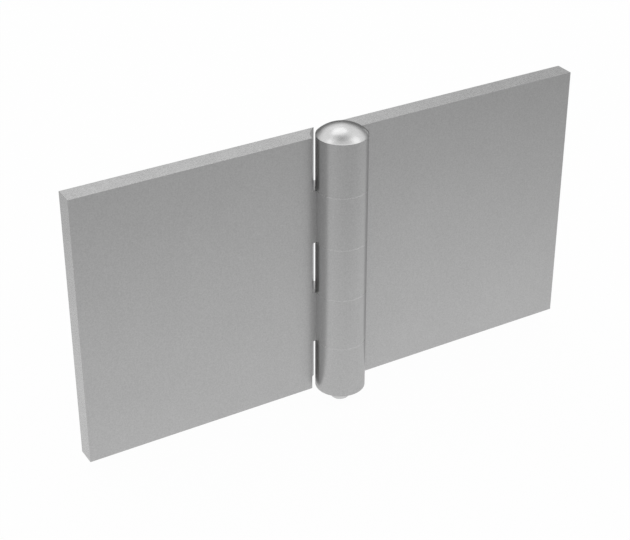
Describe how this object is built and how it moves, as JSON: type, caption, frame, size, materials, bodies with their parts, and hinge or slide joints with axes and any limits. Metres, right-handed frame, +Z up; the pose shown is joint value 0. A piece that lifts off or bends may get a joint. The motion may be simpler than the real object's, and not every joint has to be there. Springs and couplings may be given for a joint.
{
  "type": "weld-on hinge",
  "caption": "Weld-on butt hinge: plain thick steel leaves with interleaved one-piece knuckles, turning on a dome-headed pin.",
  "frame": {"origin": "on the pin's axis, half way up the leaves", "axes": "+Z up along the pin towards its head, +X out along the fixed leaf, +Y towards the backs of the leaves; the barrel stands out towards -Y"},
  "size_m": [0.1756, 0.0162, 0.0977],
  "materials": {
    "leaf_steel": "bare satin steel, with finely grained sawn edges",
    "pin_steel": "bright turned and polished steel"
  },
  "bodies": {
    "fixed": {"fixed_leaf": "leaf_steel", "hinge_pin": "pin_steel"},
    "swing": {"swing_leaf": "leaf_steel"}
  },
  "joints": [
    {"name": "leaf_swing", "type": "hinge", "parent": "fixed", "child": "swing", "pos_m": [0, 0, 0], "axis": [0, 0, 1], "range_deg": [-64, 180]}
  ]
}
